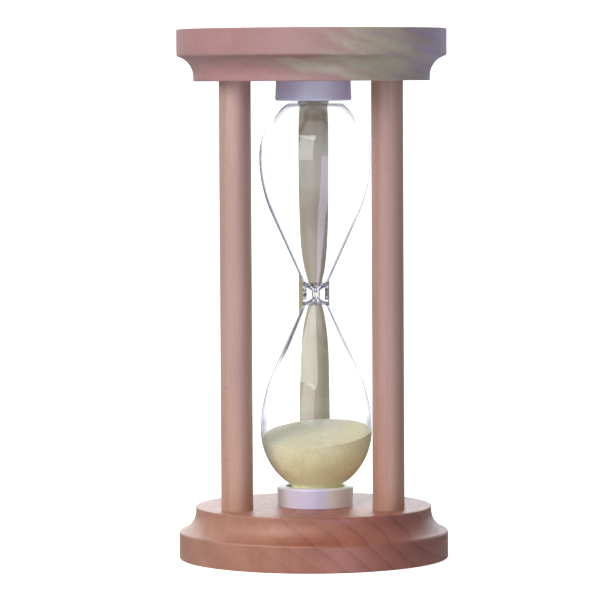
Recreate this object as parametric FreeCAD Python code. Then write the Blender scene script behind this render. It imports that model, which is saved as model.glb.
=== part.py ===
"""Wooden three-post hourglass, modelled piece by piece.

Two identical turned beech discs are held apart by three glued dowel posts. Between them stands a glass
vessel of two bulbs fused at a thick neck with a sand orifice. Each open end of the glass is closed by a
bung, rests on a soft pad, and sits in a white end cap let into the disc. The sand lies in the lower bulb.

Millimetres, +Z up, origin at the centre of the underside of the base disc.
"""
import FreeCAD, Part
import math
import os

# ---- driving dimensions ---------------------------------------------------------------------------
overall_height = 158.6
rim_radius = 40.4
face_radius = 35.4
disc_thickness = 15.6

post_diameter = 9.5
post_circle_radius = 26.0

bulb_radius = 16.7
cone_wall = 0.6
widest_wall = 0.4
stub_wall = 0.7
neck_radius = 3.85
orifice_radius = 0.45
stub_radius = 8.2
cap_radius = 11.5
cap_height_above_disc = 5.9

# ---- disc profile ---------------------------------------------------------------------------------
rim_height = 7.5
cove_lip = 1.4
arris_round = 0.8
outer_edge_round = 0.3
face_edge_round = 0.3

# ---- posts and their blind holes ------------------------------------------------------------------
post_angles = {"front_left_post": 210.0, "front_right_post": 330.0, "rear_post": 90.0}
glue_gap = 0.05
hole_depth = 9.0
hole_end_gap = 0.3
post_chamfer = 0.6

# ---- end caps, pads and bungs ---------------------------------------------------------------------
cap_recess_depth = 1.5
cap_floor = 2.4
cap_draft = 0.3
cap_outer_round = 0.7
cap_inner_round = 0.3
cap_seat_gap = 0.5
pad_thickness = 1.2
pad_gap = 0.1
bung_length = 3.1
bung_taper = 0.15
touch_gap = 0.05

# ---- glass profile, with its heights above the neck plane -----------------------------------------
bulb_widest_height = 41.0
cone_half_angle = math.radians(24.3)
cone_start_height = 3.4
neck_fillet = 1.6
end_radius = 19.6
stub_fillet = 1.0
upper_throat_angle = math.radians(52.0)
lower_throat_angle = math.radians(76.0)
throat_top_height = 2.5
throat_round = 0.8

# ---- how the hand-made parts sit in the frame -----------------------------------------------------
vessel_offset = 0.9
cap_offset = 0.5
sand_level = 37.9
sand_rise_x = 0.065
sand_rise_y = 0.169
sand_crown_radius = 230.0

# ---- worked out from the above --------------------------------------------------------------------
post_radius = post_diameter / 2
cap_base_radius = cap_radius - cap_draft
cap_bore_radius = stub_radius + cap_seat_gap
neck_height = overall_height / 2
# these are above the neck plane, at the upper end
face_height = neck_height - disc_thickness
mouth_height = face_height - cap_height_above_disc
cap_end_height = face_height + cap_recess_depth
stub_end_height = cap_end_height - cap_floor - pad_thickness
bung_inner_height = stub_end_height - bung_length

Z_AXIS = FreeCAD.Vector(0, 0, 1)
ORIGIN = FreeCAD.Vector(0, 0, 0)


def at(radius, height):
    """A point of a turned profile, in the XZ plane."""
    return FreeCAD.Vector(radius, 0, height)


def line(start, end):
    return Part.LineSegment(start, end).toShape()


def arc(centre, radius, start, end):
    """A profile arc about centre, from start to end by the shorter way."""
    towards_middle = (start + end) * 0.5 - centre
    middle = centre + towards_middle.normalize() * radius
    return Part.Arc(start, middle, end).toShape()


def polygon(*points):
    """The straight edges that join the points in a closed loop."""
    closed = list(points) + [points[0]]
    return [line(a, b) for a, b in zip(closed, closed[1:])]


def turned(edges):
    """The solid that a closed profile sweeps about the Z axis."""
    face = Part.Face(Part.Wire(Part.sortEdges(edges)[0]))
    return face.revolve(ORIGIN, Z_AXIS, 360)


def cylinder(radius, height, base):
    return Part.makeCylinder(radius, height, base, Z_AXIS)


def rounded(shape, round_radius, edge_radius, height):
    """Rounds the circular edge of edge_radius that lies at the height."""
    edges = [
        e for e in shape.Edges
        if isinstance(e.Curve, Part.Circle)
        and abs(e.Curve.Radius - edge_radius) < 0.01
        and abs(e.Curve.Center.z - height) < 0.01
    ]
    return shape.makeFillet(round_radius, edges)


# ---- turned end discs -----------------------------------------------------------------------------
def disc_body():
    """Rim below, cove above, lying on its outer face, with no holes.

    The cove leaves the face edge upright and runs tangentially into the rounded top of the rim.
    """
    lip_height = disc_thickness - cove_lip
    rise = lip_height - rim_height
    inset = rim_radius - face_radius
    cove_radius = ((inset - arris_round) ** 2 + rise ** 2 - arris_round ** 2) / (2 * inset)
    cove_centre = at(face_radius + cove_radius, lip_height)
    arris_centre = at(rim_radius - arris_round, rim_height)
    meeting = arris_centre + (cove_centre - arris_centre).normalize() * arris_round
    face_edge = at(face_radius, lip_height)
    rim_top = at(rim_radius, rim_height)
    body = turned([
        line(at(0, 0), at(rim_radius, 0)),
        line(at(rim_radius, 0), rim_top),
        arc(arris_centre, arris_round, rim_top, meeting),
        arc(cove_centre, cove_radius, meeting, face_edge),
        line(face_edge, at(face_radius, disc_thickness)),
        line(at(face_radius, disc_thickness), at(0, disc_thickness)),
        line(at(0, disc_thickness), at(0, 0)),
    ])
    body = rounded(body, outer_edge_round, rim_radius, 0)
    return rounded(body, face_edge_round, face_radius, disc_thickness)


def post_centre(angle, height):
    turn = math.radians(angle)
    return FreeCAD.Vector(post_circle_radius * math.cos(turn), post_circle_radius * math.sin(turn), height)


def end_disc():
    """A disc with its blind post holes and the shallow recess that locates the cap."""
    disc = disc_body()
    for angle in post_angles.values():
        hole = cylinder(post_radius + glue_gap, hole_depth, post_centre(angle, disc_thickness - hole_depth))
        disc = disc.cut(hole)
    recess_floor = FreeCAD.Vector(cap_offset, 0, disc_thickness - cap_recess_depth)
    return disc.cut(cylinder(cap_base_radius + touch_gap, cap_recess_depth, recess_floor))


def to_other_end(shape):
    """The same piece at the other end: mirrored in the neck plane."""
    return shape.mirror(FreeCAD.Vector(0, 0, neck_height), Z_AXIS)


# ---- posts ----------------------------------------------------------------------------------------
def post(angle):
    low = disc_thickness - hole_depth + hole_end_gap
    dowel = cylinder(post_radius, overall_height - 2 * low, post_centre(angle, low))
    ends = [e for e in dowel.Edges if isinstance(e.Curve, Part.Circle)]
    return dowel.makeChamfer(post_chamfer, ends)


# ---- glass ----------------------------------------------------------------------------------------
def bulb_curve(cone_inset, widest_inset, stub_inset, foot_height):
    """The bulb's curve from the top of its cone to the foot of its stub.

    It stands inside the outer face by one inset at the cone, one at the widest point and one at the stub,
    and each arc is tangent to the next. Gives the edges, the top of the cone and the foot of the stub.
    """
    widest_radius = bulb_radius - widest_inset
    collar_radius = neck_radius - cone_inset / math.cos(cone_half_angle)
    foot_radius = stub_radius - stub_inset
    dome_radius = end_radius - (widest_inset + stub_inset) / 2
    fillet_radius = stub_fillet + stub_inset

    rise = bulb_widest_height - cone_start_height
    reach = widest_radius - collar_radius
    shoulder_radius = (rise * math.sin(cone_half_angle) - reach * math.cos(cone_half_angle)) / (
        1 - math.cos(cone_half_angle))
    shoulder_centre = at(widest_radius - shoulder_radius, bulb_widest_height)
    dome_centre = at(widest_radius - dome_radius, bulb_widest_height)
    fillet_x = foot_radius + fillet_radius
    climb = math.sqrt((dome_radius + fillet_radius) ** 2 - (fillet_x - dome_centre.x) ** 2)
    fillet_centre = at(fillet_x, bulb_widest_height + climb)
    to_fillet = (fillet_centre - dome_centre).normalize()
    to_cone = at(math.cos(cone_half_angle), -math.sin(cone_half_angle))

    cone_top = shoulder_centre + to_cone * shoulder_radius
    widest = at(widest_radius, bulb_widest_height)
    dome_foot = dome_centre + to_fillet * dome_radius
    stub_top = at(foot_radius, fillet_centre.z)
    stub_foot = at(foot_radius, foot_height)
    edges = [
        arc(shoulder_centre, shoulder_radius, cone_top, widest),
        arc(dome_centre, dome_radius, widest, dome_foot),
        arc(fillet_centre, fillet_radius, dome_foot, stub_top),
        line(stub_top, stub_foot),
    ]
    return edges, cone_top, stub_foot


def inside_curve(gap, foot_height):
    """The bulb's inner face, or a curve that stands a gap inside it."""
    return bulb_curve(cone_wall + gap, widest_wall + gap, stub_wall + gap, foot_height)


def outer_neck(cone_top):
    """Half the collar and its fillet into the cone."""
    fillet_height = cone_start_height - neck_fillet * math.tan(cone_half_angle / 2)
    fillet_centre = at(neck_radius + neck_fillet, fillet_height)
    to_cone = at(math.cos(cone_half_angle), -math.sin(cone_half_angle))
    collar_end = at(neck_radius, fillet_height)
    cone_foot = fillet_centre - to_cone * neck_fillet
    return [
        line(at(neck_radius, 0), collar_end),
        arc(fillet_centre, neck_fillet, collar_end, cone_foot),
        line(cone_foot, cone_top),
    ]


def inner_neck(cone_top, throat_angle):
    """The rounded throat that narrows the cone to the orifice. Gives the edges and the throat's mouth."""
    slope = math.tan(cone_half_angle)
    lean = math.tan(throat_angle)
    mouth = at(cone_top.x - (cone_top.z - throat_top_height) * slope, throat_top_height)
    throat_radius = (lean * mouth.z - mouth.x + orifice_radius) / (
        lean * math.sin(throat_angle) + math.cos(throat_angle) - 1)
    centre = at(orifice_radius + throat_radius, 0)
    foot = centre + at(-math.cos(throat_angle), math.sin(throat_angle)) * throat_radius
    edges = [
        arc(centre, throat_radius, at(orifice_radius, 0), foot),
        line(foot, mouth),
        line(mouth, cone_top),
    ]
    return edges, mouth


def bulb(throat_angle):
    """Half the vessel, from the neck plane up to its open stub."""
    outer, outer_cone_top, outer_foot = bulb_curve(0, 0, 0, stub_end_height)
    inner, inner_cone_top, inner_foot = inside_curve(0, stub_end_height)
    throat, mouth = inner_neck(inner_cone_top, throat_angle)
    edges = outer_neck(outer_cone_top) + outer + inner + throat
    edges.append(line(outer_foot, inner_foot))
    edges.append(line(at(orifice_radius, 0), at(neck_radius, 0)))
    half = rounded(turned(edges), throat_round, mouth.x, mouth.z)
    return half.translated(FreeCAD.Vector(vessel_offset, 0, neck_height))


# ---- bung, pad and cap at the upper end -----------------------------------------------------------
def upper_bung():
    """A tapered plug that fills the stub and ends flush with it."""
    radius = stub_radius - stub_wall - touch_gap
    base = FreeCAD.Vector(vessel_offset, 0, neck_height + bung_inner_height)
    return Part.makeCone(radius - bung_taper, radius, bung_length, base, Z_AXIS)


def upper_pad():
    base = FreeCAD.Vector(cap_offset, 0, neck_height + stub_end_height)
    return cylinder(cap_bore_radius - pad_gap, pad_thickness, base)


def upper_cap():
    """A moulded cup, drafted outside, with its mouth towards the glass."""
    floor_height = cap_end_height - cap_floor
    cup = turned(polygon(
        at(cap_bore_radius, mouth_height),
        at(cap_radius, mouth_height),
        at(cap_base_radius, face_height),
        at(cap_base_radius, cap_end_height),
        at(0, cap_end_height),
        at(0, floor_height),
        at(cap_bore_radius, floor_height),
    ))
    cup = rounded(cup, cap_outer_round, cap_radius, mouth_height)
    cup = rounded(cup, cap_inner_round, cap_bore_radius, mouth_height)
    return cup.translated(FreeCAD.Vector(cap_offset, 0, neck_height))


# ---- sand -----------------------------------------------------------------------------------------
def sand():
    """The lower bulb's contents, up to a softly crowned surface that settled out of level."""
    bung_face_height = bung_inner_height - touch_gap
    wall, cone_top, foot = inside_curve(touch_gap, bung_face_height)
    top_centre = at(0, cone_top.z)
    foot_centre = at(0, bung_face_height)
    wall += [line(foot, foot_centre), line(foot_centre, top_centre), line(top_centre, cone_top)]
    filled = turned(wall).mirror(ORIGIN, Z_AXIS).translated(FreeCAD.Vector(0, 0, neck_height))
    up = FreeCAD.Vector(-sand_rise_x, -sand_rise_y, 1).normalize()
    crown_centre = FreeCAD.Vector(0, 0, sand_level) - up * sand_crown_radius
    settled = filled.common(Part.makeSphere(sand_crown_radius, crown_centre))
    return settled.translated(FreeCAD.Vector(vessel_offset, 0, 0))


def write(node, shape):
    if not shape.isValid() or len(shape.Solids) != 1:
        raise SystemExit(f"{node} is not one valid solid")
    solid = shape.Solids[0]
    solid.exportStep(f"parts/{node}.step")
    box = solid.optimalBoundingBox()
    print(f"{node:17s} {solid.Volume / 1000:8.3f} cm3, from z {box.ZMin:7.2f} to {box.ZMax:7.2f}")


def main():
    os.makedirs("parts", exist_ok=True)
    base_disc = end_disc()
    write("base_disc", base_disc)
    write("top_disc", to_other_end(base_disc))
    for node, angle in post_angles.items():
        write(node, post(angle))
    write("upper_bulb", bulb(upper_throat_angle))
    write("lower_bulb", to_other_end(bulb(lower_throat_angle)))
    upper_pieces = {"bung": upper_bung(), "pad": upper_pad(), "cap": upper_cap()}
    for piece, shape in upper_pieces.items():
        write(f"upper_{piece}", shape)
        write(f"lower_{piece}", to_other_end(shape))
    write("sand", sand())


main()
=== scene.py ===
"""Looks of the hourglass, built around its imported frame.

The wooden discs and posts, the caps, pads and bungs are the frame's own nodes with better materials. The two
bulb nodes are replaced by one fused blown vessel, and the sand node by a heap with a grained, uneven surface.
"""
import math

import bpy
import numpy as np
from mathutils import Matrix, Quaternion, Vector, noise


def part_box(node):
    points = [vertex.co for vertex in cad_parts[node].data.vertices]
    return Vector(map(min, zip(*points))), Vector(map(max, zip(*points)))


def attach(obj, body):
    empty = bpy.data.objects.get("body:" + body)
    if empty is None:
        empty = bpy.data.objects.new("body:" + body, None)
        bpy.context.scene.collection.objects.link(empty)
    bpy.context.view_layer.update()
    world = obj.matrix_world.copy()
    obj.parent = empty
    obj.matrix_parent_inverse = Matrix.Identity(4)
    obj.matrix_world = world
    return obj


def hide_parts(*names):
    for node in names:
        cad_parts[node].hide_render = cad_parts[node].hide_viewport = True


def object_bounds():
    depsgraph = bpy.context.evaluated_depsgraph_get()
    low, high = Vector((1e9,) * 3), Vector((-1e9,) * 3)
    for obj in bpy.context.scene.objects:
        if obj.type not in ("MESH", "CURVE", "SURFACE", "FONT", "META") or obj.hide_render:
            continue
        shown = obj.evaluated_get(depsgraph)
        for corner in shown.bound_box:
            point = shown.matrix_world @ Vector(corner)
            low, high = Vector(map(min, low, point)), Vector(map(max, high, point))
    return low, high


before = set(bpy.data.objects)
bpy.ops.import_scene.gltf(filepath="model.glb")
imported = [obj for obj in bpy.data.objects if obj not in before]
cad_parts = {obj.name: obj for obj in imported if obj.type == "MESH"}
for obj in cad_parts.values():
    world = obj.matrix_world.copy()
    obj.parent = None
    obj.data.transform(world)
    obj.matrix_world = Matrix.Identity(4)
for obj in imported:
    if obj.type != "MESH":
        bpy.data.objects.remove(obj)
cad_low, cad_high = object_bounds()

MM = 0.001

# ---- sizes read from the frame --------------------------------------------------------------------
bulb_low, bulb_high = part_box("upper_bulb")
sand_low, sand_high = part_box("sand")
VESSEL_X = (bulb_low.x + bulb_high.x) / 2
NECK_Z = bulb_low.z
BULB_RADIUS = (bulb_high.x - bulb_low.x) / 2
STUB_END = bulb_high.z - NECK_Z
AXIS_X = (cad_low.x + cad_high.x) / 2
HEIGHT = cad_high.z

# ---- the glass, with heights above the neck plane --------------------------------------------------
CONE_WALL = 0.6 * MM
WIDEST_WALL = 0.4 * MM
STUB_WALL = 0.7 * MM
NECK_RADIUS = 3.85 * MM
ORIFICE_RADIUS = 0.45 * MM
STUB_RADIUS = 8.2 * MM
WIDEST_HEIGHT = 41.0 * MM
CONE_ANGLE = math.radians(24.3)
CONE_START = 3.4 * MM
NECK_FILLET = 1.6 * MM
END_RADIUS = 19.6 * MM
STUB_FILLET = 1.0 * MM
UPPER_THROAT_ANGLE = math.radians(52.0)
LOWER_THROAT_ANGLE = math.radians(76.0)
THROAT_TOP = 2.5 * MM
THROAT_ROUND = 0.8 * MM
RIM_ROUND = 0.25 * MM
GLASS_SEGMENTS = 256
GLASS_IOR = 1.5
GLASS_TINT = (0.995, 0.995, 1.0, 1.0)
# painted shade and painted reflection on the wall's outline, by millimetres above the neck, sand-coloured
# where the sand lies behind, and the share of that painted shade that the right side gets
OUTLINE_PAINTED_SHADES = (
    (-62, (0.56, 0.50, 0.32, 1.0)), (-43, (0.50, 0.45, 0.29, 1.0)), (-40, (0.80, 0.79, 0.86, 1.0)),
    (-24, (0.62, 0.60, 0.70, 1.0)), (-17, (0.16, 0.15, 0.19, 1.0)), (-5, (0.16, 0.15, 0.20, 1.0)),
    (-3, (0.72, 0.71, 0.76, 1.0)), (3, (0.72, 0.71, 0.76, 1.0)), (5, (0.30, 0.29, 0.34, 1.0)),
    (28, (0.30, 0.29, 0.35, 1.0)), (42, (0.42, 0.41, 0.48, 1.0)), (50, (0.45, 0.44, 0.50, 1.0)),
    (58, (0.85, 0.84, 0.90, 1.0)),
)
PAINTED_SHADE_RIGHT_SHARE = ((-60, 0.65), (-28, 0.65), (-20, 1.0), (3, 1.0), (12, 0.65), (20, 0.5), (27, 0.08), (58, 0.08))
# painted shade for the dark streaks in the collar and at the left of the lower cone
PAINTED_STREAK_SHADE = (0.13, 0.12, 0.16, 1.0)

# ---- the sand --------------------------------------------------------------------------------------
# the sand stands this far inside the glass wall, or the wall would mirror a gap of air beside it
SAND_OVERLAP = 0.08 * MM
SAND_LEVEL = 37.9 * MM
SAND_RISE_X = 0.065
SAND_RISE_Y = 0.169
SAND_CROWN_RADIUS = 230.0 * MM
SAND_RINGS = 150
SAND_SEGMENTS = 384

# ---- camera and stage ------------------------------------------------------------------------------
CAMERA_DISTANCE = 1.136
CAMERA_AZIMUTH = math.radians(1.2)
CAMERA_ELEVATION = math.radians(3.36)
CAMERA_ROLL = math.radians(-0.3)
CAMERA_LENS = 227.2
AIM_HEIGHT = 77.4 * MM
AIM_LEFT = 3.8 * MM
FLOOR_RADIUS = 3.0
WALL_CURVE = 0.8
WALL_HEIGHT = 1.6
FLOOR_GLOW = 0.7
ROOM_LIGHT = 0.32
ROOM_COLOUR = (0.91, 1.01, 1.05, 1.0)
TABLE_LIGHT = 0.42
BACK_GLARE = 2.9


# ---- meshes ----------------------------------------------------------------------------------------
def arc(centre, radius, start, end, step=2.5):
    """Points of a profile arc, from one angle in degrees to another."""
    count = max(2, math.ceil(abs(end - start) / step) + 1)
    turns = np.radians(np.linspace(start, end, count))
    return [(centre[0] + radius * math.cos(t), centre[1] + radius * math.sin(t)) for t in turns]


def lathe(name, profile, segments, centre=(0, 0, 0), closed=False):
    """A smooth mesh from a profile of (radius, height) points turned about Z.

    Points on the axis become poles. A closed profile joins its last point to its first.
    """
    verts, rings = [], []
    for radius, height in profile:
        count = 1 if radius < 1e-9 else segments
        rings.append(range(len(verts), len(verts) + count))
        for i in range(count):
            turn = 2 * math.pi * i / segments
            verts.append((radius * math.cos(turn), radius * math.sin(turn), height))
    faces = []
    pairs = list(zip(rings, rings[1:]))
    if closed:
        pairs.append((rings[-1], rings[0]))
    for a, b in pairs:
        for i in range(segments):
            j = (i + 1) % segments
            quad = [a[i % len(a)], a[j % len(a)], b[j % len(b)], b[i % len(b)]]
            faces.append(list(dict.fromkeys(quad)))
    mesh = bpy.data.meshes.new(name)
    mesh.from_pydata(verts, [], faces)
    mesh.transform(Matrix.Translation(centre))
    mesh.shade_smooth()
    piece = bpy.data.objects.new(name, mesh)
    bpy.context.scene.collection.objects.link(piece)
    return piece


# ---- the blown vessel ------------------------------------------------------------------------------
def bulb_profile(widest_inset, cone_inset, stub_inset):
    """The bulb from the top of its cone to its stub, moved inwards by three insets along its length."""
    radius = BULB_RADIUS - widest_inset
    neck = NECK_RADIUS - cone_inset / math.cos(CONE_ANGLE)
    end = END_RADIUS - (widest_inset + stub_inset) / 2
    fillet = STUB_FILLET + stub_inset
    fillet_x = STUB_RADIUS - stub_inset + fillet
    rise = WIDEST_HEIGHT - CONE_START
    reach = radius - neck
    shoulder = (rise * math.sin(CONE_ANGLE) - reach * math.cos(CONE_ANGLE)) / (1 - math.cos(CONE_ANGLE))
    climb = math.sqrt((end + fillet) ** 2 - (fillet_x - radius + end) ** 2)
    lean = math.degrees(math.atan2(climb, fillet_x - radius + end))
    points = arc((radius - shoulder, WIDEST_HEIGHT), shoulder, -math.degrees(CONE_ANGLE), 0, 0.8)
    points += arc((radius - end, WIDEST_HEIGHT), end, 0, lean, 2)[1:]
    points += arc((fillet_x, WIDEST_HEIGHT + climb), fillet, 180 + lean, 180, 6)[1:]
    return points


def inner_profile(gap=0.0):
    """The bulb's inner face, or a face that stands a gap inside it."""
    return bulb_profile(WIDEST_WALL + gap, CONE_WALL + gap, STUB_WALL + gap)


def outer_half():
    """Outer profile of one bulb, from the neck plane to the rounded end of the stub."""
    cone = math.degrees(CONE_ANGLE)
    fillet_z = CONE_START - NECK_FILLET * math.tan(CONE_ANGLE / 2)
    points = [(NECK_RADIUS, fillet_z * share) for share in (0.25, 0.5, 0.75)]
    points += arc((NECK_RADIUS + NECK_FILLET, fillet_z), NECK_FILLET, 180, 180 - cone, 3)
    points += bulb_profile(0, 0, 0)
    points += arc((STUB_RADIUS - RIM_ROUND, STUB_END - RIM_ROUND), RIM_ROUND, 0, 90, 15)
    return points


def inner_half(throat_angle):
    """Inner profile of one bulb, from the orifice to the rounded end of the stub."""
    inner = inner_profile()
    top_x, top_z = inner[0]
    mouth_x = top_x - (top_z - THROAT_TOP) * math.tan(CONE_ANGLE)
    lean = math.tan(throat_angle)
    throat = (lean * THROAT_TOP - mouth_x + ORIFICE_RADIUS) / (
        lean * math.sin(throat_angle) + math.cos(throat_angle) - 1)
    points = arc((ORIFICE_RADIUS + throat, 0), throat, 180, 180 - math.degrees(throat_angle), 5)[1:]
    reach = THROAT_ROUND * math.tan((throat_angle - CONE_ANGLE) / 2)
    start_x = mouth_x - reach * math.sin(throat_angle)
    start_z = THROAT_TOP - reach * math.cos(throat_angle)
    centre_x = start_x - THROAT_ROUND * math.cos(throat_angle)
    centre_z = start_z + THROAT_ROUND * math.sin(throat_angle)
    steep, shallow = -math.degrees(throat_angle), -math.degrees(CONE_ANGLE)
    points += arc((centre_x, centre_z), THROAT_ROUND, steep, shallow, 4)
    points += inner
    points += arc((STUB_RADIUS - STUB_WALL + RIM_ROUND, STUB_END - RIM_ROUND), RIM_ROUND, 180, 90, 15)
    return points


def mirrored(points):
    return [(x, -z) for x, z in reversed(points)]


def glass_vessel():
    outer = mirrored(outer_half()) + [(NECK_RADIUS, 0)] + outer_half()
    inner = mirrored(inner_half(LOWER_THROAT_ANGLE)) + [(ORIFICE_RADIUS, 0)]
    inner += inner_half(UPPER_THROAT_ANGLE)
    return lathe("glass_vessel", outer + inner[::-1], GLASS_SEGMENTS, (VESSEL_X, 0, NECK_Z), closed=True)


# ---- the heap of sand ------------------------------------------------------------------------------
def wall_radius(height):
    """Radius that the sand may reach at a height above the floor."""
    depth = NECK_Z - height
    profile = inner_profile(-SAND_OVERLAP)
    zs = [z for _, z in profile]
    xs = [x for x, _ in profile]
    return float(np.interp(depth, zs, xs))


def sand_surface(x, y):
    """Height of the settled surface above a point, x and y from the vessel's axis."""
    rise = Vector((-SAND_RISE_X, -SAND_RISE_Y, 1)).normalized()
    centre = Vector((0, 0, SAND_LEVEL)) - rise * SAND_CROWN_RADIUS
    smooth = centre.z + math.sqrt(SAND_CROWN_RADIUS ** 2 - (x - centre.x) ** 2 - (y - centre.y) ** 2)
    at = Vector((x, y, 0)) / MM
    ripple = 0.10 * noise.noise(at * 0.16 + Vector((7, 3, 1)))
    ripple += 0.05 * noise.noise(at * 0.5 + Vector((1, 8, 2)))
    grains = 0.022 * noise.noise(at * 3.1) + 0.012 * noise.noise(at * 6.3)
    return smooth + (ripple + grains) * MM


def sand_rim_radius(turn):
    """How far the surface reaches in one direction before it meets the glass."""
    low, high = 0.0, BULB_RADIUS
    for _ in range(40):
        middle = (low + high) / 2
        z = sand_surface(middle * math.cos(turn), middle * math.sin(turn))
        if middle < wall_radius(z):
            low = middle
        else:
            high = middle
    return low


def sand_heap():
    """Top rings out to the glass, then side rings down the bulb to the bung."""
    foot_z = sand_low.z
    side_rings = 70
    turns = [2 * math.pi * i / SAND_SEGMENTS for i in range(SAND_SEGMENTS)]
    rims = [sand_rim_radius(t) for t in turns]
    verts = [(0, 0, sand_surface(0, 0))]
    for ring in range(1, SAND_RINGS + 1):
        share = ring / SAND_RINGS
        for turn, rim in zip(turns, rims):
            x = rim * share * math.cos(turn)
            y = rim * share * math.sin(turn)
            verts.append((x, y, sand_surface(x, y)))
    tops = [verts[-SAND_SEGMENTS + i][2] for i in range(SAND_SEGMENTS)]
    for ring in range(1, side_rings + 1):
        share = ring / side_rings
        for turn, top in zip(turns, tops):
            z = top + (foot_z - top) * share
            at = Vector((math.cos(turn), math.sin(turn), 0)) * BULB_RADIUS / MM
            pack = 0.02 * noise.noise(Vector((at.x, at.y, z / MM)) * 2.2)
            radius = wall_radius(z) - (0.02 + pack) * MM
            verts.append((radius * math.cos(turn), radius * math.sin(turn), z))
    verts.append((0, 0, foot_z))
    n = SAND_SEGMENTS
    faces = [(0, 1 + i, 1 + (i + 1) % n) for i in range(n)]
    for ring in range(SAND_RINGS + side_rings - 1):
        a = 1 + ring * n
        b = a + n
        faces += [(a + i, b + i, b + (i + 1) % n, a + (i + 1) % n) for i in range(n)]
    last = 1 + (SAND_RINGS + side_rings - 1) * n
    faces += [(last + i, len(verts) - 1, last + (i + 1) % n) for i in range(n)]
    mesh = bpy.data.meshes.new("sand_heap")
    mesh.from_pydata([(x + VESSEL_X, y, z) for x, y, z in verts], [], faces)
    mesh.shade_smooth()
    piece = bpy.data.objects.new("sand_heap", mesh)
    bpy.context.scene.collection.objects.link(piece)
    return piece


# ---- material helpers ------------------------------------------------------------------------------
class Shader:
    """A node tree, of a new material or one that is given, that is built up by short calls."""

    def __init__(self, name=None, tree=None):
        if tree is None:
            self.material = bpy.data.materials.new(name)
            self.material.use_nodes = True
            tree = self.material.node_tree
        self.tree = tree
        self.principled = tree.nodes.get("Principled BSDF")
        self.output = tree.nodes.get("Material Output")

    def node(self, kind, inputs=None, out=0, **settings):
        """Adds a node, sets or links its inputs, and gives back one of its output sockets."""
        made = self.tree.nodes.new("ShaderNode" + kind)
        for name, value in settings.items():
            setattr(made, name, value)
        for key, value in (inputs or {}).items():
            self.feed(made.inputs[key], value)
        return made.outputs[out]

    def feed(self, socket, value):
        if isinstance(value, bpy.types.NodeSocket):
            self.tree.links.new(value, socket)
        else:
            socket.default_value = value

    def surface(self, **inputs):
        """Sets the Principled inputs, with underscores for the spaces in their names."""
        for name, value in inputs.items():
            self.feed(self.principled.inputs[name.replace("_", " ")], value)

    def math(self, operation, a, b=0.0, c=0.0):
        return self.node("Math", {0: a, 1: b, 2: c}, operation=operation)

    def ramp(self, value, low, high, to_low=0.0, to_high=1.0):
        inputs = {"Value": value, "From Min": low, "From Max": high, "To Min": to_low, "To Max": to_high}
        return self.node("MapRange", inputs, interpolation_type="SMOOTHSTEP")

    def noise(self, vector, scale, detail=2.0, roughness=0.5):
        inputs = {"Vector": vector, "Scale": scale, "Detail": detail, "Roughness": roughness}
        return self.node("TexNoise", inputs)

    def mix(self, factor, a, b, blend="MIX"):
        made = self.tree.nodes.new("ShaderNodeMix")
        made.data_type = "RGBA"
        made.blend_type = blend
        self.feed(made.inputs[0], factor)
        self.feed(made.inputs[6], a)
        self.feed(made.inputs[7], b)
        return made.outputs[2]

    def gradient(self, place, stops):
        """The colour at a place between (place, colour) stops."""
        low, high = stops[0][0], stops[-1][0]
        made = self.tree.nodes.new("ShaderNodeValToRGB")
        self.feed(made.inputs[0], self.math("DIVIDE", self.math("SUBTRACT", place, low), high - low))
        elements = made.color_ramp.elements
        for _ in stops[2:]:
            elements.new(0.5)
        for element, (at, colour) in zip(elements, stops):
            element.position = (at - low) / (high - low)
            element.color = colour
        return made.outputs[0]

    def millimetres(self):
        """Object coordinates in millimetres."""
        place = self.node("TexCoord", out=3)
        return self.node("VectorMath", {0: place, "Scale": 1 / MM}, operation="SCALE")


def rgb(red, green, blue):
    """A linear colour from 0 to 255 display values."""
    def linear(v):
        v /= 255
        return v / 12.92 if v <= 0.04045 else ((v + 0.055) / 1.055) ** 2.4
    return (linear(red), linear(green), linear(blue), 1.0)


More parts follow.
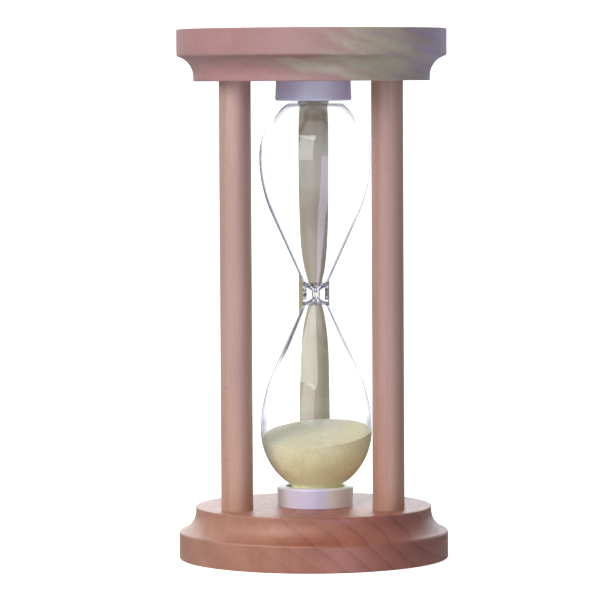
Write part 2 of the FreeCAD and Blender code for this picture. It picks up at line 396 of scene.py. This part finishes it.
# ---- beech -----------------------------------------------------------------------------------------
def beech(name, fibre, outward, ring, pith, shades, drift, line, line_strength, quiet, seed, streak=None):
    """Sanded beech with a thin satin finish.

    fibre is the grain's direction and outward the way that the rings grow. ring is their spacing and pith
    how far away their centre is, in millimetres. Rings, rays and fibres are cut through as in solid wood.
    shades are (millimetres along drift, colour) pairs that the board's colour passes through; besides the
    wood's own tone they carry painted light and painted colour casts. The ring lines are faint below the
    first number of quiet, in millimetres along X, and full above the second.
    streak is (low, high, shift, end): between those heights the shades are taken that much further along,
    though never beyond its end, and slanting bands cross the whole board.
    """
    s = Shader(name)
    place = s.millimetres()
    along = Vector(fibre).normalized()
    out = (Vector(outward) - along * along.dot(Vector(outward))).normalized()
    across = along.cross(out)

    def component(axis):
        return s.node("VectorMath", {0: place, 1: tuple(axis)}, out=1, operation="DOT_PRODUCT")

    u, v, w = component(out), component(across), component(along)
    shift = s.node("CombineXYZ", {0: u, 1: v, 2: s.math("MULTIPLY", w, 0.22)})
    shift = s.node("VectorMath", {0: shift, 1: (seed, seed * 1.7, seed * 0.6)}, operation="ADD")
    warp = s.math("MULTIPLY", s.math("SUBTRACT", s.noise(shift, 0.03, 1.0), 0.5), 1.3 * ring)
    wobble = s.math("MULTIPLY", s.math("SUBTRACT", s.noise(shift, 0.5, 2.0), 0.5), 0.10 * ring)
    from_pith = s.math("ADD", u, pith)
    radius = s.math("SQRT", s.math("ADD", s.math("POWER", from_pith, 2.0), s.math("POWER", v, 2.0)))
    radius = s.math("ADD", s.math("ADD", radius, warp), wobble)
    phase = s.math("FRACT", s.math("DIVIDE", radius, ring))
    closing = s.ramp(phase, 0.965, 1.0, 1.0, 0.0)
    fine = s.math("MULTIPLY", s.math("POWER", phase, 12.0), closing)
    soft = s.math("MULTIPLY", s.math("POWER", phase, 2.6), closing)
    drifting = s.math("MULTIPLY_ADD", s.noise(shift, 0.09, 2.0), 30.0, -15.0)
    clear = s.ramp(s.math("ADD", component((1, 0, 0)), drifting), quiet[0], quiet[1], 0.1, 1.0)
    clear = s.math("MULTIPLY", clear, s.ramp(s.noise(shift, 0.16, 2.0), 0.3, 0.6, 0.45, 1.0))
    ring_line = s.math("MULTIPLY", s.math("MULTIPLY_ADD", soft, 0.45, s.math("MULTIPLY", fine, 0.75)), clear)

    # rays: thin ribbons that run outwards from the pith
    ray_place = s.node("CombineXYZ", {
        0: s.math("MULTIPLY", u, 0.16), 1: s.math("MULTIPLY", v, 2.6), 2: s.math("MULTIPLY", w, 0.55)})
    ray = s.node("TexVoronoi", {"Vector": ray_place, "Scale": 1.0, "Randomness": 1.0})
    ray = s.ramp(ray, 0.10, 0.26, 1.0, 0.0)

    # fibres: streaks along the grain
    fibre_place = s.node("CombineXYZ", {
        0: s.math("MULTIPLY", u, 3.0), 1: s.math("MULTIPLY", v, 3.0), 2: s.math("MULTIPLY", w, 0.10)})
    fibres = s.noise(fibre_place, 1.0, 4.0, 0.6)
    streak_place = s.node("CombineXYZ", {
        0: s.math("MULTIPLY", u, 0.5), 1: s.math("MULTIPLY", v, 0.5), 2: s.math("MULTIPLY", w, 0.02)})
    streaks = s.noise(streak_place, 1.0, 3.0, 0.55)
    mottle = s.noise(shift, 0.075, 3.0, 0.5)

    side = s.math("ADD", component(drift), s.math("MULTIPLY_ADD", mottle, 24.0, -12.0))
    if streak:
        low, high, shift_along, streak_end = streak
        level = s.math("ADD", component((0.03, 0.0, 1.0)), s.math("MULTIPLY_ADD", mottle, 5.0, -2.5))
        falling = s.ramp(level, high, high + 1.4, shift_along, 0.0)
        ahead = s.math("MULTIPLY", s.ramp(level, low, high), falling)
        side = s.math("MAXIMUM", side, s.math("MINIMUM", s.math("ADD", side, ahead), streak_end))
        # slanting bands that push the shades to and fro
        band = s.math("MULTIPLY_ADD", component((0.36, 0.0, 1.0)), 0.19, s.math("MULTIPLY", mottle, 1.2))
        band = s.math("MULTIPLY", s.math("SINE", s.math("MULTIPLY", band, math.tau)), -3.2)
        side = s.math("ADD", side, band)
    body = s.gradient(side, shades)
    body = s.mix(s.math("MULTIPLY", s.ramp(mottle, 0.35, 0.65), 0.22), body, line)
    body = s.mix(s.math("MULTIPLY", s.ramp(streaks, 0.35, 0.7), 0.12), body, line)
    body = s.mix(s.math("MULTIPLY", s.ramp(fibres, 0.4, 0.75), 0.18), body, line)
    body = s.mix(s.math("MULTIPLY", ring_line, line_strength), body, line)
    body = s.mix(s.math("MULTIPLY", ray, 0.22), body, line)

    grain = s.math("ADD", s.math("MULTIPLY", fibres, 0.6), s.math("MULTIPLY", ray, -0.5))
    grain = s.math("SUBTRACT", grain, s.math("MULTIPLY", ring_line, 0.4))
    bump = s.node("Bump", {"Strength": 0.12, "Distance": 0.05 * MM, "Height": grain})
    rough = s.ramp(fibres, 0.3, 0.7, 0.44, 0.56)
    s.surface(Base_Color=body, Roughness=rough, Normal=bump, Specular_IOR_Level=0.5,
              Coat_Weight=0.1, Coat_Roughness=0.35)
    return s.material


# ---- the other materials ---------------------------------------------------------------------------
def clear_glass():
    """Glass built from its refraction and its mirror.

    Its outline carries painted shade, by height above the neck and less on the right, for a view from the
    front.
    The collar has painted dark streaks and the left of the lower cone a painted dark edge. Below the sand's
    top its mirror is painted darker, and in the caps it fades out. Lamp light and diffuse light pass straight
    through.
    """
    s = Shader("blown_glass")
    s.tree.nodes.remove(s.principled)
    share = s.node("Fresnel", {"IOR": GLASS_IOR})
    split = s.node("SeparateXYZ", {0: s.millimetres()}).node
    above_neck = s.math("SUBTRACT", split.outputs[2], NECK_Z / MM)
    from_neck = s.math("ABSOLUTE", above_neck)
    left_side = s.ramp(split.outputs[0], -3.0, 5.0, 1.0, 0.0)

    # painted shade on the outline: the mirror is darkened at grazing angles, by height, less on the right
    # side
    painted_shade_right_share = s.gradient(above_neck, [(at, (share, share, share, 1.0)) for at, share in PAINTED_SHADE_RIGHT_SHARE])
    painted_outline_shade = s.gradient(above_neck, OUTLINE_PAINTED_SHADES)
    painted_outline_shade = s.mix(s.math("MAXIMUM", left_side, painted_shade_right_share), (1.0, 1.0, 1.0, 1.0), painted_outline_shade)
    # painted shade on the mirror: below the sand's top its reflections are darkened
    mirror_dimmed_below_sand = s.ramp(above_neck, -38.8, -35.5, 0.12, 1.0)
    trapped = s.ramp(share, 0.08, 0.6)
    mirror_colour = s.mix(trapped, s.node("CombineXYZ", {0: mirror_dimmed_below_sand, 1: mirror_dimmed_below_sand, 2: mirror_dimmed_below_sand}), painted_outline_shade)

    # painted shade: dark streaks in the collar, a dark edge at the left of the lower cone and a faint haze at
    # grazing angles
    streaky = s.ramp(s.noise(s.millimetres(), 1.3, 2.0), 0.38, 0.56, 0.3, 0.95)
    collar = s.math("MULTIPLY", s.math("MULTIPLY", s.ramp(from_neck, 1.5, 2.3, 1.0, 0.0), streaky),
                    s.ramp(share, 0.043, 0.056))
    lower_cone = s.ramp(above_neck, -21.0, -15.0)
    lower_cone = s.math("MULTIPLY", lower_cone, s.ramp(above_neck, -5.0, -3.4, 1.0, 0.0))
    lower_cone = s.math("MULTIPLY", s.math("MULTIPLY", lower_cone, left_side), s.ramp(share, 0.10, 0.26))
    haze = s.ramp(share, 0.07, 0.22, 0.0, 0.03)
    painted_streaks = s.math("MAXIMUM", s.math("MAXIMUM", collar, lower_cone), haze)
    through_colour = s.mix(painted_streaks, GLASS_TINT, PAINTED_STREAK_SHADE)

    through = s.node("BsdfRefraction", {"Color": through_colour, "Roughness": 0.0, "IOR": GLASS_IOR})
    mirror = s.node("BsdfGlossy", {"Color": mirror_colour, "Roughness": 0.0})
    glass = s.node("MixShader", {0: share, 1: through, 2: mirror})
    clear = s.node("BsdfTransparent", {"Color": (0.97, 0.97, 0.98, 1.0)})
    glass = s.node("MixShader", {0: s.ramp(from_neck, 55.8, 57.4, 0.0, 0.9), 1: glass, 2: clear})
    lamp_ray = s.math("MAXIMUM", s.node("LightPath", out=1), s.node("LightPath", out=2))
    lets_light = s.node("BsdfTransparent", {"Color": (0.98, 0.98, 0.98, 1.0)})
    s.feed(s.output.inputs["Surface"], s.node("MixShader", {0: lamp_ray, 1: glass, 2: lets_light}))
    return s.material


def cream_sand():
    """Fine sand in several creams, with painted light: lighter and yellower towards the bottom and at its
    left and right sides. Its faint glow stands in for light that scatters between the grains.
    """
    s = Shader("cream_sand")
    place = s.millimetres()
    grains = s.node("TexVoronoi", {"Vector": place, "Scale": 4.2}, out=1)
    pale = s.node("SeparateColor", {0: grains})
    patch = s.noise(place, 0.22, 3.0)
    split = s.node("SeparateXYZ", {0: place}).node
    # painted light: lighter and yellower towards the bottom, where less light reaches the sand
    shades = ((22, rgb(255, 250, 196)), (29, rgb(250, 242, 190)), (35, rgb(232, 226, 194)),
              (41, rgb(238, 236, 222)))
    body = s.gradient(split.outputs[2], shades)
    body = s.mix(s.math("MULTIPLY", s.ramp(patch, 0.35, 0.65), 0.2), body, rgb(196, 182, 138))
    # painted light: paler towards the right and the left side, where the heap's sides are in shade
    body = s.mix(s.ramp(split.outputs[0], 2.0, 14.0, 0.0, 0.4), body, rgb(254, 246, 190))
    body = s.mix(s.ramp(split.outputs[0], -5.0, -15.0, 0.0, 0.6), body, rgb(255, 255, 236))
    body = s.mix(s.ramp(pale, 0.55, 1.0, 0.0, 0.35), body, rgb(190, 176, 130))
    depth = s.node("TexVoronoi", {"Vector": place, "Scale": 4.2})
    bump = s.node("Bump", {"Strength": 0.5, "Distance": 0.08 * MM, "Height": depth})
    s.surface(Base_Color=body, Roughness=0.92, Normal=bump, Specular_IOR_Level=0.25)
    s.surface(Emission_Color=body, Emission_Strength=0.07)
    return s.material


def cap_plastic(name, shades):
    """Satin moulded plastic whose colour changes from side to side by (millimetres along X, colour) shades
    that carry painted light as well as the plastic's faint lavender.
    """
    s = Shader(name)
    place = s.millimetres()
    haze = s.noise(place, 0.12, 3.0)
    speck = s.noise(place, 5.0, 2.0)
    side = s.math("ADD", s.node("SeparateXYZ", {0: place}, out=0), s.math("MULTIPLY_ADD", haze, 4.0, -2.0))
    bump = s.node("Bump", {"Strength": 0.08, "Distance": 0.03 * MM, "Height": speck})
    rough = s.ramp(speck, 0.3, 0.7, 0.34, 0.44)
    s.surface(Base_Color=s.gradient(side, shades), Roughness=rough, Normal=bump)
    return s.material


def silicone():
    s = Shader("silicone")
    place = s.millimetres()
    haze = s.noise(place, 0.3, 3.0)
    body = s.mix(haze, rgb(224, 220, 212), rgb(206, 203, 198))
    s.surface(Base_Color=body, Roughness=s.ramp(haze, 0.3, 0.7, 0.5, 0.62))
    return s.material


def felt():
    s = Shader("white_felt")
    place = s.millimetres()
    fuzz = s.noise(place, 2.8, 5.0, 0.7)
    body = s.mix(fuzz, rgb(238, 236, 230), rgb(210, 208, 203))
    bump = s.node("Bump", {"Strength": 0.5, "Distance": 0.15 * MM, "Height": fuzz})
    s.surface(Base_Color=body, Roughness=0.95, Normal=bump, Sheen_Weight=0.3)
    return s.material


def dress(piece, material):
    piece.data.materials.clear()
    piece.data.materials.append(material)


# ---- stage, lights and camera ----------------------------------------------------------------------
def white_paper(name, near, far):
    """Matt white that is lit from inside, more so with distance from the object, and so stays white."""
    s = Shader(name)
    distance = s.node("VectorMath", {0: s.node("TexCoord", out=3)}, out=1, operation="LENGTH")
    glow = s.ramp(distance, 0.2, 1.3, near, far)
    s.surface(Base_Color=rgb(240, 240, 241), Roughness=0.9, Specular_IOR_Level=0.1)
    s.surface(Emission_Color=(1, 1, 1, 1), Emission_Strength=glow)
    return s.material


def stage():
    """A pale floor, and a pale wall that curves up from it all the way round."""
    flat = FLOOR_RADIUS - WALL_CURVE
    floor = lathe("stage_floor", [(0, 0), (0.2, 0), (0.6, 0), (1.2, 0), (flat, 0)], 96)
    dress(floor, white_paper("stage_paper", FLOOR_GLOW, 1.1))
    profile = arc((flat, WALL_CURVE), WALL_CURVE, -90, 0, 5)
    profile.append((FLOOR_RADIUS, WALL_HEIGHT))
    wall = lathe("stage_wall", profile, 96)
    dress(wall, white_paper("stage_white", 1.1, 1.1))
    for part in (floor, wall):
        part.visible_shadow = False
        part.visible_diffuse = False
        part.visible_glossy = False


def softbox(name, azimuth, elevation, distance, size, power, colour, seen_in="diffuse"):
    """A rectangular light that faces the middle of the object.

    It either lights surfaces, or is only seen mirrored in them.
    """
    data = bpy.data.lights.new(name, "AREA")
    data.shape = "RECTANGLE"
    data.size, data.size_y = size
    data.energy = power
    data.color = colour
    lamp = bpy.data.objects.new(name, data)
    a, e = math.radians(azimuth), math.radians(elevation)
    back = Vector((math.sin(a) * math.cos(e), -math.cos(a) * math.cos(e), math.sin(e)))
    lamp.location = Vector((0, 0, HEIGHT / 2)) + back * distance
    lamp.rotation_mode = "QUATERNION"
    lamp.rotation_quaternion = back.to_track_quat("Z", "Y")
    lamp.visible_camera = False
    lamp.visible_diffuse = seen_in == "diffuse"
    lamp.visible_glossy = seen_in == "mirror"
    lamp.visible_transmission = False
    bpy.context.scene.collection.objects.link(lamp)


def studio_world():
    """Soft cool room light, with a bright band behind the object that glances off its upper faces.

    What the glass bends towards the room looks white, like the backdrop, and sharp mirrors stay neutral.
    """
    world = bpy.data.worlds.new("studio")
    world.use_nodes = True
    s = Shader(tree=world.node_tree)
    direction = s.tree.nodes.new("ShaderNodeTexCoord").outputs[0]
    split = s.tree.nodes.new("ShaderNodeSeparateXYZ")
    s.feed(split.inputs[0], direction)
    behind = s.ramp(split.outputs[1], 0.72, 0.84)
    level = s.ramp(split.outputs[2], 0.04, 0.09)
    glare = s.math("MULTIPLY", s.math("MULTIPLY", behind, level), BACK_GLARE)
    below = s.ramp(split.outputs[2], -0.1, -0.5, ROOM_LIGHT, TABLE_LIGHT)
    through_glass = s.node("LightPath", out=6)
    strength = s.math("MAXIMUM", s.math("ADD", glare, below), through_glass)
    background = s.tree.nodes["Background"]
    sharp = s.math("MAXIMUM", through_glass, s.node("LightPath", out=4))
    s.feed(background.inputs["Color"], s.mix(sharp, ROOM_COLOUR, (0.97, 0.97, 1.0, 1.0)))
    s.feed(background.inputs["Strength"], strength)
    bpy.context.scene.world = world


def lights():
    studio_world()
    softbox("key", -42, 30, 1.3, (0.55, 0.9), 9.7, (1.0, 0.98, 0.97))
    softbox("front", -16, 20, 1.8, (0.8, 1.3), 3, (1.0, 0.98, 0.99))
    softbox("left", -88, 8, 1.4, (0.5, 1.0), 1.0, (0.8, 1.0, 1.0))
    softbox("top", 0, 88, 1.5, (1.4, 1.4), 6, (1.0, 1.0, 1.0))
    softbox("table", 0, -32, 1.2, (0.9, 0.6), 2.4, (0.95, 0.95, 1.0))
    softbox("window", -17.5, 17, 1.8, (0.92, 1.2), 14, (1.0, 0.97, 1.0), "mirror")
    softbox("sky", -35, 43, 1.8, (2.1, 0.5), 20, (0.97, 1.0, 1.0), "mirror")
    softbox("side_window", 23, -24, 1.8, (0.6, 1.9), 19, (0.80, 0.68, 1.0), "mirror")


def camera():
    data = bpy.data.cameras.new("camera")
    data.lens = CAMERA_LENS
    data.sensor_width = 36.0
    data.clip_start, data.clip_end = 0.05, 20.0
    cam = bpy.data.objects.new("camera", data)
    a, e = CAMERA_AZIMUTH, CAMERA_ELEVATION
    back = Vector((math.sin(a) * math.cos(e), -math.cos(a) * math.cos(e), math.sin(e)))
    right = Vector((math.cos(a), math.sin(a), 0))
    aim = Vector((AXIS_X, 0, AIM_HEIGHT)) - right * AIM_LEFT
    cam.location = aim + back * CAMERA_DISTANCE
    cam.rotation_mode = "QUATERNION"
    level = back.to_track_quat("Z", "Y")
    roll = Quaternion((0, 0, 1), CAMERA_ROLL)
    cam.rotation_quaternion = level @ roll
    bpy.context.scene.collection.objects.link(cam)
    bpy.context.scene.camera = cam


# ---- put it together -------------------------------------------------------------------------------
def main():
    # painted light on the base: lighter on the left towards the light, darker on the right in shade, over the
    # beech's own tone
    base_colours_and_painted_shade = ((-40, rgb(190, 140, 120)), (0, rgb(170, 101, 74)), (24, rgb(174, 106, 90)),
                   (40, rgb(158, 98, 88)))
    base_wood = beech("beech_base", (0.10, 1.0, 0.06), (0.65, 0.0, 0.76), 4.6, 150.0,
                      base_colours_and_painted_shade, (1, 0, 0), rgb(116, 60, 50), 0.75, (-22, 6), 3.0)
    # painted light on the top disc: a lighter left, an olive band and a lilac cast towards the right end,
    # over the beech's own tone
    top_colours_and_painted_light = ((-40, rgb(184, 136, 136)), (-5, rgb(173, 127, 126)), (7, rgb(173, 138, 132)),
                  (18, rgb(188, 180, 156)), (30, rgb(178, 161, 162)), (40, rgb(178, 162, 198)))
    top_wood = beech("beech_top", (0.15, 1.0, -0.05), (0.37, 0.0, 0.93), 8.5, 190.0,
                     top_colours_and_painted_light, (1, 0, 0), rgb(150, 108, 104), 0.25, (-60, -50), 11.0,
                     (143.0, 149.6, 22.0, 16.0))
    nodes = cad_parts
    dress(nodes["base_disc"], base_wood)
    dress(nodes["top_disc"], top_wood)
    # painted light along the posts: more orange towards the foot for light bounced off the base; the rear
    # post's olive cream, darker towards its top, is the cast of light seen through the glass; the right post
    # is a little darker
    pink = ((15, rgb(198, 153, 130)), (60, rgb(200, 160, 149)), (140, rgb(200, 161, 151)))
    olive = ((15, rgb(209, 205, 162)), (70, rgb(206, 202, 160)), (95, rgb(180, 174, 144)))
    tan = ((15, rgb(190, 141, 116)), (60, rgb(190, 150, 139)), (140, rgb(190, 150, 140)))
    posts = (("front_left_post", pink), ("front_right_post", tan), ("rear_post", olive))
    for seed, (post, shades) in enumerate(posts):
        wood = beech("beech_" + post, (0.01, 0.006, 1.0), (0.8, -0.6 + 0.5 * seed, 0), 3.4, 60.0,
                     shades, (0, 0, 1), rgb(152, 110, 100), 0.4, (-60, -50), 20.0 + 9 * seed)
        dress(nodes[post], wood)
    # painted light across the caps: lavender casts, the upper cap darker at both ends, the lower cap paler on
    # its shaded right side
    cap_colours_and_painted_light = {
        "upper": ((-11, rgb(210, 196, 230)), (-4, rgb(228, 226, 254)), (5, rgb(232, 232, 255)),
                  (11, rgb(220, 204, 248))),
        "lower": ((-11, rgb(228, 222, 216)), (-6, rgb(226, 218, 240)), (2, rgb(220, 216, 250)),
                  (6, rgb(242, 241, 234)), (11, rgb(255, 255, 246))),
    }
    rubber, cloth = silicone(), felt()
    for end, shades in cap_colours_and_painted_light.items():
        dress(nodes[end + "_cap"], cap_plastic(end + "_cap_plastic", shades))
        dress(nodes[end + "_bung"], rubber)
        dress(nodes[end + "_pad"], cloth)

    vessel = glass_vessel()
    dress(vessel, clear_glass())
    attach(vessel, "root")
    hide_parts("upper_bulb", "lower_bulb")

    heap = sand_heap()
    dress(heap, cream_sand())
    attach(heap, "root")
    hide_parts("sand")

    stage()
    lights()
    camera()
    scene = bpy.context.scene
    scene.view_settings.view_transform = "Standard"
    scene.cycles.transmission_bounces = 24
    scene.cycles.glossy_bounces = 16
    scene.cycles.max_bounces = 32


main()
